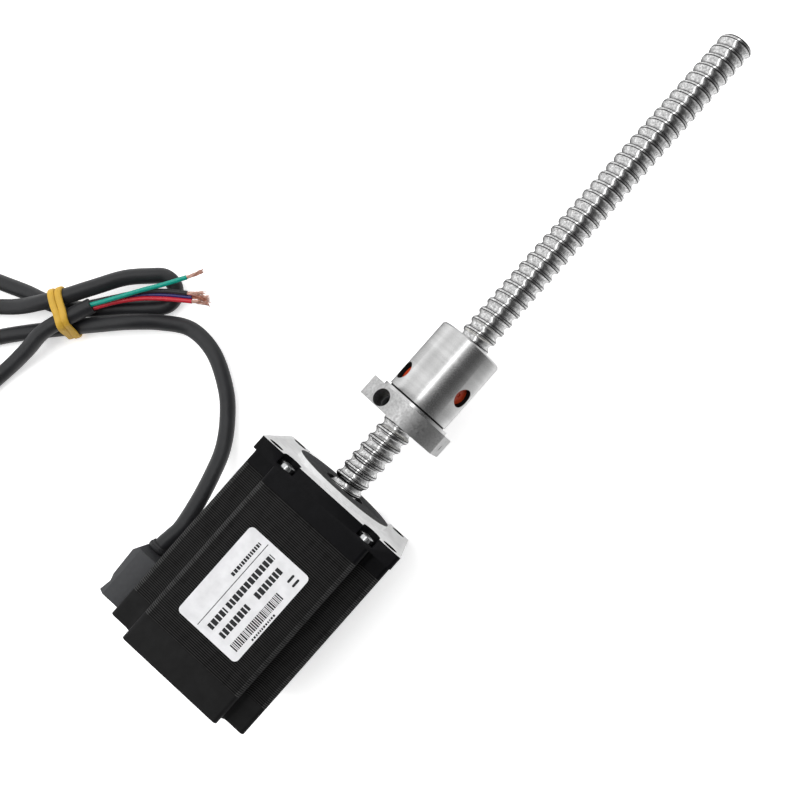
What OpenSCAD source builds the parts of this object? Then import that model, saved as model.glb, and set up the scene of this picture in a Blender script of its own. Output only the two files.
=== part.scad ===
// Hybrid stepper motor whose shaft is a ball screw with a flanged ball nut.
// Millimetres. The origin is the centre of the front mounting face, +X runs out along the screw,
// and +Z is up, with the motor lying on its flat lower side.

/* [Motor frame] */
// Side of the square mounting flange
frame_size = 56.4; // [56:0.1:58]
// Thickness of the mounting flange
flange_thick = 4.8; // [4:0.1:6]
// Spacing of the four mounting holes
hole_spacing = 47.14; // [47.14]
// Diameter of the mounting holes
hole_d = 5.4; // [4.5:0.1:5.6]
// Diameter of the pilot boss on the front face
pilot_d = 38.1; // [37:0.1:39]
// Height of the pilot boss
pilot_h = 1.6; // [1.2:0.1:2]
// Length of the front end bell behind the mounting face
front_len = 10.5; // [10.5:0.1:12]
// Length of the laminated stator
stator_len = 54; // [54:1:56]
// Length of the rear end bell
rear_len = 10.5; // [10.5:0.1:12]
// Width of the flat between the corner notches
notch_width = 39; // [38:0.5:40]

/* [Screw] */
// Crest diameter of the screw thread
screw_d = 11.8; // [11.6:0.1:12]
// Diameter at the bottom of the ball groove
groove_d = 9.9; // [9.8:0.1:10]
// Lead of the right-hand thread
lead = 4; // [4]
// Distance from the mounting face to the tip of the screw
screw_len = 198.5; // [150:0.5:250]

/* [Ball nut] */
// Distance from the mounting face to the nut's flange at rest
nut_x = 29.3; // [28:0.1:60]
// Overall length of the nut
nut_len = 36; // [35:0.5:38]
// Diameter of the nut's body
nut_d = 24; // [22:0.5:25]
// Diameter of the nut's flange
nut_flange_d = 41; // [40:0.5:42]
// Width of the flange across its two flats
nut_flats = 30; // [28:0.5:32]
// Thickness of the nut's flange
nut_flange_thick = 7.3; // [7:0.1:9]
// Pitch circle of the flange bolts
nut_pcd = 32; // [31:0.5:33]
// Diameter of the flange bolt holes
nut_hole_d = 4.5; // [4:0.1:5]
// Turn of the nut about the screw at rest
nut_roll = -5; // [-10:1:10]

/* [Cable] */
// Outside diameter of the cable
cable_d = 5.8; // [5:0.1:6]
// Outside diameter of one insulated core
core_d = 1.7; // [1.2:0.1:1.8]

/* [Hidden] */
$fn = 64;

half = frame_size / 2;
stator_x = -front_len;
rear_x = stator_x - stator_len;
motor_end_x = rear_x - rear_len;
corner_r = 1.5;
notch_fillet_r = 2.5;
joint_gap = 0.2;
eps = 0.01;

// Bearings: outer, bore and width, then the ball track and the ball
front_bearing = [26, 10, 8, 9, 2.2];
rear_bearing = [22, 8, 7, 7.5, 1.85];
race_wall = 1.6;
shield_thick = 0.4;
front_wall = 2.5;
rear_wall = 2.5;
front_bearing_x = -front_wall - front_bearing[2];
rear_bearing_x = rear_x - rear_bearing[2] - 0.5;
front_ball_count = 8;
rear_ball_count = 7;
first_ball_angle = 11;
washer_thick = 0.3;
washer_wave = 0.18;
shaft_hole_d = 16;

// Stator, windings and rotor
winding_room_r = 25.2;
stator_bore_r = 16.4;
yoke_r = 24.2;
shoe_back_r = 18.4;
pole_count = 8;
pole_width = 5.5;
shoe_angle = 34;
tooth_pitch = 360 / 50;
stator_teeth = 5;
slot_width = 1.1;
slot_depth = 0.8;
coil_bottom_r = 18.9;
coil_thick = 4;
coil_overhang = 4.2;
coil_width = 13.2;
coil_window = 6.6;
rotor_r = 16;
rotor_seat_r = 5.5;
rotor_front_x = -14;
cup_len = 22;
magnet_len = 4;
magnet_r = 13.5;
rotor_teeth = 50;
rear_journal_r = 4;
rotor_rear_x = rotor_front_x - 2 * cup_len - magnet_len;

// Tie screws in their pockets at the top and bottom edges
tie_y = 16.3;
tie_z = 24.9;
tie_shank_r = 1.5;
tie_clearance_r = 1.7;
tie_head_r = 3;
tie_head_thick = 2;
tie_pocket_depth = 3.5;
tie_pocket_width = 6.6;
tie_len = 69;

// Screw thread: land on the crest, then flanks down to a flat groove bottom
thread_x = 0.6;
land_width = 1.2;
groove_width = 1.6;
flank_width = (lead - land_width - groove_width) / 2;
thread_phase = 0.5;
thread_sides = 16;

// Nut inside: ball track, ball and the three return circuits
ball_r = 1.1;
ball_track_r = 6.25;
nut_bore_r = 6.15;
nut_body_x = nut_x + nut_flange_thick;
nut_end_x = nut_x + nut_len;
circuit_x = [7.6, 12.93, 18.27];
circuit_angle = [60, -60, 180];
deflector_d = 6.8;
deflector_depth = 3.4;
balls_per_turn = 12;
wiper_thick = 2;
wiper_r = 8.5;
grease_d = 6;
grease_angle = 22.5;

// Boot, grommet and cable, with the cable lying on the surface under the motor
boot_x = [-75, -56];
boot_y = half + 10;
boot_half_z = 12;
boot_wall = 1.6;
exit_y = half + 5;
grommet_x = -58;
lie_z = -half + cable_d / 2;
cable_clearance = 0.15;
band_thick = 0.9;
band_width = 5.5;
band_centre = [-21, 119.7, -21.2];
band_turn = 58;
band_reach = 12;

// Route of the cable: boot, bend to the tie, inner loop, small loop, outer loop, stripped end
cable_route = [
    [-59.5, exit_y, 0], [-56, exit_y, 0], [-52.8, exit_y, -0.1], [-49.4, 32.9, -1.3], [-45.3, 32.9, -3.6],
    [-37, 35.4, -9.7], [-28.5, 38.9, -16.5], [-20, 43.2, -22.6], [-11.5, 49.3, -25.1],
    [-3.5, 57.2, lie_z], [3.5, 69.5, lie_z], [4.6, 81.5, lie_z], [-0.6, 91, -23.8],
    [-8, 99.4, -21.4], [-15.6, 107, -22.2], [-24.8, 116, -24.2], [-44.5, 133.5, lie_z],
    [-70, 151, lie_z], [-94, 168, lie_z], [-98, 188, lie_z], [-80, 198, lie_z],
    [-61, 178, lie_z], [-37, 141.5, -22.8], [-23, 127, -18.2], [-8, 117.5, -18.6],
    [2.5, 111.5, -20.6], [9.4, 105.3, -22.4], [12.7, 101.4, -23.6], [12.5, 97, -24.6],
    [9.2, 94.1, -25.1], [4.9, 94.4, lie_z], [0.4, 98.4, lie_z], [-5.2, 104.6, lie_z], [-20.5, 122.3, -24.2],
    [-27, 140.5, lie_z], [-38, 166.5, lie_z], [-58, 199, lie_z], [-92, 210, lie_z],
    [-120, 190, lie_z], [-123, 156, lie_z], [-97, 130, lie_z], [-56, 124, lie_z],
    [-42, 121.5, -22.2], [-29.5, 119.5, -18.2], [-12.5, 113, -18.6]
];
route_steps = 3;
cable_sides = 10;
core_sides = 8;
bare_len = 7;

// Route of each core from the stripped end of the jacket
green_route = [
    [-12.2, 112.9, -17.4], [-5.5, 108.3, -16.9], [3.1, 102.9, -17.1], [11, 97.7, -17.7],
    [18, 93.6, -18.4]
];
red_route = [
    [-12.6, 111.7, -18.6], [-6.1, 107.5, -18.9], [1, 101.6, -19.5], [6.9, 94.8, -19.8],
    [12.7, 86.9, -20.2]
];
blue_route = [
    [-12.1, 112.9, -19.9], [-5.5, 108.9, -20.4], [2.1, 102.5, -20.8], [8.3, 95.6, -20.5],
    [13.8, 88, -20.4]
];
black_route = [
    [-11.7, 114, -18.6], [-4.7, 108.8, -18.7], [2.9, 103.1, -19.1], [8.9, 96.7, -19],
    [13.9, 89.8, -19]
];

// ---------------------------------------------------------------- helpers

// Point at t between the second and third of four points on a smooth curve
function spline_point(a, b, c, d, t) =
    0.5 * (2 * b + (c - a) * t + (2 * a - 5 * b + 4 * c - d) * t * t
           + (3 * b - a - 3 * c + d) * t * t * t);

// Point lifted onto the surface that the motor lies on, if it is lower
function lifted(p) = [p[0], p[1], max(p[2], lie_z)];

// Smooth curve through all points, with steps points to each span
function smooth_route(route, steps) = [
    for (i = [0:len(route) - 2], k = [0:steps - 1])
        lifted(spline_point(route[max(i - 1, 0)], route[i], route[i + 1],
                            route[min(i + 2, len(route) - 1)], k / steps)),
    route[len(route) - 1]
];

function unit(v) = v / norm(v);

// Direction of the curve at point i
function heading(route, i) =
    unit(route[min(i + 1, len(route) - 1)] - route[max(i - 1, 0)]);

// Faces of a closed tube of rings with equal sides
function tube_faces(rings, sides) = [
    [for (s = [0:sides - 1]) s],
    [for (s = [0:sides - 1]) rings * sides - 1 - s],
    for (r = [0:rings - 2], s = [0:sides - 1])
        let (a = r * sides + s, b = r * sides + (s + 1) % sides)
            each [[a, b + sides, b], [a, a + sides, b + sides]]
];

// Round tube that follows a route that is nowhere vertical
module route_tube(route, d, sides) {
    path = smooth_route(route, route_steps);
    points = [
        for (i = [0:len(path) - 1])
            let (along = heading(path, i),
                 side = unit(cross([0, 0, 1], along)),
                 up = cross(along, side))
                for (s = [0:sides - 1])
                    let (angle = 360 * s / sides)
                        path[i] + d / 2 * (side * cos(angle) + up * sin(angle))
    ];
    polyhedron(points, tube_faces(len(path), sides));
}

// Turn a solid made along +Z so that it runs along +X, from x
module along_x(x) {
    translate([x, 0, 0]) rotate([0, 90, 0]) children();
}

// Cylinder along +X
module rod(x, length, r) {
    along_x(x) cylinder(r = r, h = length);
}

// Ring along +X
module ring(x, length, outer_r, inner_r) {
    along_x(x) difference() {
        cylinder(r = outer_r, h = length);
        translate([0, 0, -eps]) cylinder(r = inner_r, h = length + 2 * eps);
    }
}

// Flat rectangle with round corners
module rounded_rectangle(width, height, r) {
    square([width - 2 * r, height], center = true);
    square([width, height - 2 * r], center = true);
    for (sx = [-1, 1], sy = [-1, 1])
        translate([sx * (width / 2 - r), sy * (height / 2 - r)]) circle(r = r);
}

// Cross-section of the motor body: a square with a notch in each corner
module body_outline() {
    rounded_rectangle(frame_size, notch_width, corner_r);
    rounded_rectangle(notch_width, frame_size, corner_r);
    for (sx = [-1, 1], sy = [-1, 1])
        translate([sx * notch_width / 2, sy * notch_width / 2]) difference() {
            translate([sx > 0 ? -eps : -notch_fillet_r, sy > 0 ? -eps : -notch_fillet_r])
                square(notch_fillet_r + eps);
            translate([sx * notch_fillet_r, sy * notch_fillet_r]) circle(r = notch_fillet_r);
        }
}

// Straight piece of the motor body
module body_block(x, length) {
    along_x(x) linear_extrude(length) body_outline();
}

// Places of the four tie screws
module at_tie_screws() {
    for (sy = [-1, 1], sz = [-1, 1])
        translate([0, sy * tie_y, sz * tie_z]) children();
}

// ---------------------------------------------------------------- end bells

// Pocket that lets a tie screw's head in from the front and from the edge
module tie_pocket(sz) {
    rod(-tie_pocket_depth, tie_pocket_depth + eps, tie_pocket_width / 2);
    translate([-tie_pocket_depth, -tie_pocket_width / 2, sz > 0 ? 0 : -half])
        cube([tie_pocket_depth + eps, tie_pocket_width, half]);
}

module front_end_bell() {
    color([0.13, 0.13, 0.14]) difference() {
        union() {
            along_x(-flange_thick) linear_extrude(flange_thick)
                rounded_rectangle(frame_size, frame_size, corner_r);
            body_block(stator_x, front_len - flange_thick);
            rod(-eps, pilot_h + eps, pilot_d / 2);
        }
        rod(stator_x - eps, front_len + pilot_h + 2 * eps, shaft_hole_d / 2);
        rod(stator_x - eps, -front_wall - stator_x + eps, front_bearing[0] / 2);
        ring(stator_x - eps, coil_overhang + 1.2, winding_room_r, front_bearing[0] / 2 + 3.5);
        for (sy = [-1, 1], sz = [-1, 1]) {
            translate([0, sy * hole_spacing / 2, sz * hole_spacing / 2])
                rod(-flange_thick - eps, flange_thick + 2 * eps, hole_d / 2);
            translate([0, sy * tie_y, sz * tie_z]) tie_pocket(sz);
        }
        at_tie_screws() rod(stator_x - eps, front_len, tie_clearance_r);
    }
}

module rear_end_bell() {
    bearing_room = rear_len - rear_wall;
    wire_window = [6, 6, 10];
    color([0.18, 0.18, 0.19]) difference() {
        body_block(motor_end_x, rear_len);
        rod(rear_x - bearing_room, bearing_room + eps, rear_bearing[0] / 2);
        ring(rear_x - 6.5, 6.5 + eps, winding_room_r, rear_bearing[0] / 2 + 3.5);
        at_tie_screws() rod(rear_x - 9, 9 + eps, tie_shank_r);
        translate([rear_x - 6.5, winding_room_r - 1, -wire_window[2] / 2]) cube(wire_window);
        rod(motor_end_x - eps, 0.5, rear_bearing[0] / 2);
    }
}

// ---------------------------------------------------------------- stator

module stator_pole() {
    translate([stator_bore_r + 0.3, -pole_width / 2])
        square([yoke_r - stator_bore_r, pole_width]);
    intersection() {
        difference() {
            circle(r = shoe_back_r);
            circle(r = stator_bore_r);
        }
        polygon([
            [0, 0],
            [2 * yoke_r * cos(shoe_angle / 2), -2 * yoke_r * sin(shoe_angle / 2)],
            [2 * yoke_r * cos(shoe_angle / 2), 2 * yoke_r * sin(shoe_angle / 2)]
        ]);
    }
}

module stator_section() {
    difference() {
        union() {
            difference() {
                body_outline();
                circle(r = yoke_r);
            }
            for (i = [0:pole_count - 1]) rotate(i * 360 / pole_count) stator_pole();
        }
        for (i = [0:pole_count - 1], t = [0:stator_teeth - 2])
            rotate(i * 360 / pole_count + (t - (stator_teeth - 2) / 2) * tooth_pitch)
                translate([stator_bore_r - 1, -slot_width / 2])
                    square([1 + slot_depth, slot_width]);
        for (sy = [-1, 1], sz = [-1, 1])
            translate([sz * tie_z, sy * tie_y]) circle(r = tie_clearance_r);
    }
}

module stator_core() {
    color([0.12, 0.12, 0.13])
        along_x(rear_x) linear_extrude(stator_len) stator_section();
}

// Plastic end piece that keeps the wire off the laminations; dir points away from the stator
module insulator(x, dir) {
    spoke_thick = 0.6;
    rim_len = 3.6;
    outer_rim_r = winding_room_r - joint_gap;
    color([0.85, 0.85, 0.8]) mirror([dir < 0 ? 1 : 0, 0, 0]) translate([dir * x, 0, 0]) {
        ring(0, rim_len, shoe_back_r - 0.1, shoe_back_r - 1.2);
        ring(0, rim_len, outer_rim_r, outer_rim_r - 1);
        for (i = [0:pole_count - 1]) rotate([i * 360 / pole_count, 0, 0])
            translate([0, -pole_width / 2, shoe_back_r - 0.6])
                cube([spoke_thick, pole_width, outer_rim_r - shoe_back_r]);
    }
}

module front_insulator() {
    insulator(stator_x, 1);
}

module rear_insulator() {
    insulator(rear_x, -1);
}

// One coil around a pole that stands along +Z
module coil() {
    length = stator_len + 2 * coil_overhang;
    translate([stator_x - stator_len / 2, 0, coil_bottom_r]) linear_extrude(coil_thick)
        difference() {
            rounded_rectangle(length, coil_width, 3);
            rounded_rectangle(length - coil_width + coil_window, coil_window, 0.5);
        }
}

// Four coils, on every second pole
module phase_coils(first) {
    for (i = [first:2:pole_count - 1]) rotate([i * 360 / pole_count, 0, 0]) coil();
}

module phase_a_coils() {
    color([0.72, 0.36, 0.16]) phase_coils(0);
}

module phase_b_coils() {
    color([0.78, 0.42, 0.2]) phase_coils(1);
}

module terminal_board() {
    color([0.1, 0.4, 0.2])
        ring(rear_x - 6, 1, winding_room_r - joint_gap, rear_bearing[0] / 2 + 3.7);
}

// ---------------------------------------------------------------- bearings

// Ring of a ball bearing with its groove, from inner_r to outer_r
module race(x, bearing, outer_r, inner_r) {
    color([0.75, 0.76, 0.78]) along_x(x) rotate_extrude() difference() {
        translate([inner_r, 0]) square([outer_r - inner_r, bearing[2]]);
        translate([bearing[3], bearing[2] / 2]) circle(r = bearing[4] + joint_gap);
    }
}

module outer_race(x, bearing) {
    race(x, bearing, bearing[0] / 2, bearing[3] + race_wall);
}

module inner_race(x, bearing) {
    race(x, bearing, bearing[3] - race_wall, bearing[1] / 2);
}

// Two thin discs that close the bearing on both sides
module shields(x, bearing) {
    outer_r = bearing[3] + race_wall;
    inner_r = bearing[3] - race_wall + 0.3;
    color([0.6, 0.61, 0.63])
        for (side_x = [x + 0.1, x + bearing[2] - shield_thick - 0.1])
            ring(side_x, shield_thick, outer_r, inner_r);
}

module bearing_balls(x, bearing, count) {
    color([0.85, 0.86, 0.88])
        for (i = [0:count - 1]) rotate([first_ball_angle + i * 360 / count, 0, 0])
            translate([x + bearing[2] / 2, 0, bearing[3]]) sphere(r = bearing[4]);
}

// Ring with a round pocket for each ball
module ball_cage(x, bearing, count) {
    pocket_r = bearing[4] + 0.1;
    cage_len = 2 * pocket_r + 1.2;
    color([0.75, 0.6, 0.3]) difference() {
        ring(x + (bearing[2] - cage_len) / 2, cage_len, bearing[3] + 0.6, bearing[3] - 0.6);
        for (i = [0:count - 1]) rotate([first_ball_angle + i * 360 / count, 0, 0])
            translate([x + bearing[2] / 2, 0, bearing[3] - pocket_r])
                cylinder(r = pocket_r, h = 2 * pocket_r);
    }
}

module front_outer_race() {
    outer_race(front_bearing_x, front_bearing);
}

module front_inner_race() {
    inner_race(front_bearing_x, front_bearing);
}

module front_bearing_shields() {
    shields(front_bearing_x, front_bearing);
}

module front_bearing_balls() {
    bearing_balls(front_bearing_x, front_bearing, front_ball_count);
}

module front_ball_cage() {
    ball_cage(front_bearing_x, front_bearing, front_ball_count);
}

module rear_outer_race() {
    outer_race(rear_bearing_x, rear_bearing);
}

module rear_inner_race() {
    inner_race(rear_bearing_x, rear_bearing);
}

module rear_bearing_shields() {
    shields(rear_bearing_x, rear_bearing);
}

module rear_bearing_balls() {
    bearing_balls(rear_bearing_x, rear_bearing, rear_ball_count);
}

module rear_ball_cage() {
    ball_cage(rear_bearing_x, rear_bearing, rear_ball_count);
}

// Thin spring ring with three waves, which presses the rear bearing forwards
module wave_washer() {
    steps = 36;
    outer_r = rear_bearing[0] / 2 - 0.3;
    inner_r = outer_r - 2.2;
    middle_x = rear_bearing_x - 0.25;
    points = [
        for (i = [0:steps - 1])
            let (angle = 360 * i / steps, x = middle_x + washer_wave * 0.5 * cos(3 * angle))
                each [
                    for (corner = [[inner_r, -1], [outer_r, -1], [outer_r, 1], [inner_r, 1]])
                        [x + corner[1] * washer_thick / 4, corner[0] * cos(angle),
                         corner[0] * sin(angle)]
                ]
    ];
    faces = [
        for (i = [0:steps - 1], s = [0:3])
            let (a = 4 * i + s, b = 4 * i + (s + 1) % 4, c = (a + 4) % (4 * steps),
                 d = (b + 4) % (4 * steps))
                each [[a, b, d], [a, d, c]]
    ];
    color([0.5, 0.5, 0.52]) polyhedron(points, faces);
}

// ---------------------------------------------------------------- fasteners, label, cable

// Domed head of a tie screw, from its seat at zero
module tie_head() {
    rim_h = 1.2;
    dome_steps = 4;
    rotate_extrude() polygon([
        [0, 0], [tie_head_r, 0],
        for (i = [0:dome_steps])
            [tie_head_r * cos(80 * i / dome_steps),
             rim_h + (tie_head_thick - rim_h) * sin(80 * i / dome_steps)],
        [0, tie_head_thick]
    ]);
}

module tie_screw() {
    recess_len = 3.2;
    recess_width = 0.7;
    recess_floor = 0.8;
    rod(-tie_pocket_depth - tie_len, tie_len + eps, tie_shank_r);
    along_x(-tie_pocket_depth) difference() {
        tie_head();
        for (angle = [45, 135]) rotate(angle)
            translate([-recess_len / 2, -recess_width / 2, recess_floor])
                cube([recess_len, recess_width, tie_head_thick]);
    }
}

module tie_screws() {
    color([0.8, 0.8, 0.82]) at_tie_screws() tie_screw();
}

module rating_label() {
    label_size = [34.5, 24.2];
    label_thick = 0.12;
    label_x = -40;
    color([0.97, 0.97, 0.98]) translate([label_x, 0.3, half])
        linear_extrude(label_thick) rounded_rectangle(label_size[0], label_size[1], 1.6);
}

// Outline of the boot from above, from its rear end to the slope at the cable
function boot_points(inset) = [
    [boot_x[0] + inset, half - eps],
    [boot_x[0] + inset, boot_y - 0.6 - inset],
    [boot_x[0] + 4.6, boot_y - 1.5 - inset],
    [boot_x[0] + 6.7, boot_y - 0.6 - inset],
    [boot_x[1] - 2.4, boot_y - inset],
    [boot_x[1] - inset, boot_y - 1.4 - inset],
    [boot_x[1] - inset, half - eps]
];

module boot_block(inset) {
    translate([0, 0, inset - boot_half_z]) linear_extrude(2 * (boot_half_z - inset))
        polygon(boot_points(inset));
}

module cable_boot() {
    chamfer = 2.6;
    color([0.27, 0.27, 0.28]) difference() {
        intersection() {
            boot_block(0);
            translate([boot_x[0] - 1, 0, 0]) rotate([90, 0, 90]) linear_extrude(24) polygon([
                [0, -boot_half_z], [boot_y - chamfer, -boot_half_z],
                [boot_y, -boot_half_z + chamfer], [boot_y, boot_half_z - chamfer],
                [boot_y - chamfer, boot_half_z], [0, boot_half_z]
            ]);
        }
        boot_block(boot_wall);
        translate([0, exit_y, 0]) rod(grommet_x - 1, 6, 3.4);
    }
}

module cable_grommet() {
    bore_r = cable_d / 2 + cable_clearance;
    color([0.2, 0.2, 0.21]) translate([0, exit_y, 0]) {
        ring(grommet_x + 0.2, 3, 3.35, bore_r);
        ring(boot_x[1] + joint_gap, 1.3, 3.9, bore_r);
        ring(boot_x[1] + joint_gap + 1.3, 0.9, 3.5, bore_r);
    }
}

module lead_cable() {
    color([0.28, 0.28, 0.3]) route_tube(cable_route, cable_d - 0.1, cable_sides);
}

module core(route) {
    route_tube(route, core_d - 0.1, core_sides);
}

module core_green() {
    color([0, 0.6, 0.48]) core(green_route);
}

module core_red() {
    color([0.75, 0.16, 0.2]) core(red_route);
}

module core_blue() {
    color([0.18, 0.18, 0.45]) core(blue_route);
}

module core_black() {
    color([0.1, 0.1, 0.1]) core(black_route);
}

// Bare end of one core, carried straight on from its last span
module conductor_end(route) {
    last = route[len(route) - 1];
    along = unit(last - route[len(route) - 2]);
    translate(last) rotate([0, 90 - asin(along[2]), atan2(along[1], along[0])])
        cylinder(d = core_d * 0.6, h = bare_len);
}

module conductor_ends() {
    color([0.85, 0.55, 0.42])
        for (route = [green_route, red_route, blue_route, black_route]) conductor_end(route);
}

// Places where the cable passes the band, seen along the band's axis
function strand_places() =
    let (path = smooth_route(cable_route, route_steps),
         axis = [sin(band_turn), -cos(band_turn), 0],
         side = [cos(band_turn), sin(band_turn), 0])
        [
            for (i = [0:len(path) - 2], t = [0:0.2:0.8])
                let (from_centre = path[i] + t * (path[i + 1] - path[i]) - band_centre)
                    if (abs(from_centre * axis) < band_width / 2 + 0.5
                        && norm(from_centre) < band_reach)
                        [from_centre * side, from_centre[2]]
        ];

module around_strands(gap) {
    hull() for (place = strand_places()) translate(place) circle(r = cable_d / 2 + gap);
}

// Rubber band around the four strands where they cross the tie
module cable_band() {
    color([0.85, 0.66, 0.23]) translate(band_centre) rotate([90, 0, band_turn])
        translate([0, 0, -band_width / 2]) linear_extrude(band_width) difference() {
            around_strands(cable_clearance + band_thick);
            around_strands(cable_clearance);
        }
}

// ---------------------------------------------------------------- screw and rotor

// Radius of the thread at a distance along one lead, from the middle of the land
function thread_radius(u) = lookup(u, [
    [0, screw_d / 2],
    [land_width / 2, screw_d / 2],
    [land_width / 2 + flank_width, groove_d / 2],
    [land_width / 2 + flank_width + groove_width, groove_d / 2],
    [lead - land_width / 2, screw_d / 2],
    [lead, screw_d / 2]
]);

// The four profile corners in one lead, as distance and radius
thread_corners = [
    [land_width / 2, screw_d / 2],
    [land_width / 2 + flank_width, groove_d / 2],
    [land_width / 2 + flank_width + groove_width, groove_d / 2],
    [lead - land_width / 2, screw_d / 2]
];

function wrapped(x) = x - lead * floor(x / lead);

// Place along X of profile corner k, counted from the start, in angular column j
function corner_x(j, k) =
    thread_phase + lead * (j / thread_sides + floor(k / 4) - 1) + thread_corners[k % 4][0];

// Right-hand thread between two flat ends, as columns of points around the axis
module thread(x0, x1) {
    last_corner = 4 * (ceil((x1 - x0) / lead) + 3);
    column = last_corner + 3;
    offset_x = lead * floor(x0 / lead);
    function place(j, k) = offset_x + corner_x(j, k);
    function inside(j, k) = place(j, k) > x0 + eps && place(j, k) < x1 - eps;
    function at(x, r, j) =
        [x, r * cos(360 * j / thread_sides), r * sin(360 * j / thread_sides)];
    function end_radius(x, j) = thread_radius(wrapped(x - corner_x(j, 0) + land_width / 2));
    // Index of corner k in column j, and of the column's start (k = -1) and end points
    function id(j, k) = j == thread_sides ? k < 0 ? 0 : k > last_corner ? column - 1 : k + 5
                                          : j * column + (k < 0 ? 0 : min(k + 1, column - 1));
    first = [for (j = [0:thread_sides]) [for (k = [0:last_corner]) if (inside(j, k)) k][0]];
    final = [for (j = [0:thread_sides]) max([for (k = [0:last_corner]) if (inside(j, k)) k])];
    points = [
        for (j = [0:thread_sides - 1])
            each [
                at(x0, end_radius(x0, j), j),
                for (k = [0:last_corner]) at(place(j, k), thread_corners[k % 4][1], j),
                at(x1, end_radius(x1, j), j)
            ]
    ];
    end_id = last_corner + 1;
    faces = [
        [for (j = [0:thread_sides - 1]) id(j, -1)],
        [for (j = [0:thread_sides - 1]) id(thread_sides - 1 - j, end_id)],
        for (j = [0:thread_sides - 1])
            let (low = first[j], high = final[j + 1])
                each [
                    for (k = [low:high - 1])
                        each [[id(j, k), id(j, k + 1), id(j + 1, k + 1)],
                              [id(j, k), id(j + 1, k + 1), id(j + 1, k)]],
                    [id(j, -1), id(j, low), id(j + 1, low)],
                    if (first[j + 1] < low)
                        for (k = [first[j + 1]:low - 1])
                            [id(j, -1), id(j + 1, k + 1), id(j + 1, k)],
                    [id(j, -1), id(j + 1, first[j + 1]), id(j + 1, -1)],
                    [id(j + 1, end_id), id(j + 1, high), id(j, high)],
                    if (final[j] > high)
                        for (k = [high:final[j] - 1])
                            [id(j + 1, end_id), id(j, k), id(j, k + 1)],
                    [id(j + 1, end_id), id(j, final[j]), id(j, end_id)]
                ]
    ];
    polyhedron(points, faces);
}

module ball_screw() {
    collar_x = -front_wall;
    shaft_end_x = rear_bearing_x;
    rear_seat_x = rear_bearing_x + rear_bearing[2];
    color([0.8, 0.8, 0.82]) {
        thread(thread_x, screw_len);
        rod(collar_x, thread_x - collar_x, screw_d / 2);
        rod(stator_x - eps, collar_x - stator_x + 2 * eps, front_bearing[1] / 2);
        rod(rotor_front_x - eps, stator_x - rotor_front_x + eps, front_bearing[1] / 2);
        rod(rotor_rear_x, rotor_front_x - rotor_rear_x, rotor_seat_r);
        rod(shaft_end_x, rotor_rear_x - shaft_end_x + eps, rear_journal_r);
    }
}

// Toothed rotor half; turned by half a tooth against the other one
module rotor_cup(x, turn) {
    tooth_depth = 0.8;
    color([0.55, 0.55, 0.57]) rotate([turn, 0, 0]) along_x(x) linear_extrude(cup_len)
        difference() {
            circle(r = rotor_r);
            circle(r = rotor_seat_r);
            for (i = [0:rotor_teeth - 1]) rotate(i * tooth_pitch)
                translate([rotor_r - tooth_depth, -slot_width / 2])
                    square([2 * tooth_depth, slot_width]);
        }
}

module rotor_cup_front() {
    rotor_cup(rotor_front_x - cup_len, 0);
}

module rotor_cup_rear() {
    rotor_cup(rotor_rear_x, tooth_pitch / 2);
}

module rotor_magnet() {
    color([0.35, 0.35, 0.38]) ring(rotor_rear_x + cup_len, magnet_len, magnet_r, rotor_seat_r);
}

module front_spacer() {
    color([0.7, 0.7, 0.72])
        ring(rotor_front_x, stator_x - rotor_front_x, 6.8, front_bearing[1] / 2);
}

module rear_spacer() {
    bearing_front_x = rear_bearing_x + rear_bearing[2];
    color([0.7, 0.7, 0.72])
        ring(bearing_front_x, rotor_rear_x - bearing_front_x, 5.6, rear_journal_r);
}

// ---------------------------------------------------------------- ball nut

// Turn a piece of the nut into its rest position about the screw
module nut_turned() {
    rotate([nut_roll, 0, 0]) children();
}

module nut_blank() {
    lip_h = 1.3;
    lip_len = 1.1;
    relief_depth = 0.5;
    relief_len = 0.6;
    chamfer = 0.6;
    lip_end = nut_flange_thick + lip_len;
    relief_end = lip_end + relief_len;
    // Turn that keeps the start of the round face clear of the ball returns
    seam_turn = 20;
    intersection() {
        rod(nut_x, nut_flange_thick, nut_flange_d / 2);
        translate([nut_x - 1, -nut_flats / 2, -nut_flange_d])
            cube([nut_flange_thick + 2, nut_flats, 2 * nut_flange_d]);
    }
    along_x(nut_x) rotate(seam_turn) rotate_extrude() polygon([
        [0, chamfer], [0, nut_len], [nut_d / 2 - chamfer, nut_len],
        [nut_d / 2, nut_len - chamfer], [nut_d / 2, relief_end],
        [nut_d / 2 - relief_depth, relief_end], [nut_d / 2 - relief_depth, lip_end],
        [nut_d / 2 + lip_h, lip_end], [nut_d / 2 + lip_h, chamfer]
    ]);
}

// Place of a ball return on the nut, with +Z pointing outwards
module at_circuit(i) {
    translate([nut_body_x + circuit_x[i], 0, 0]) rotate([-circuit_angle[i], 0, 0]) children();
}

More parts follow.
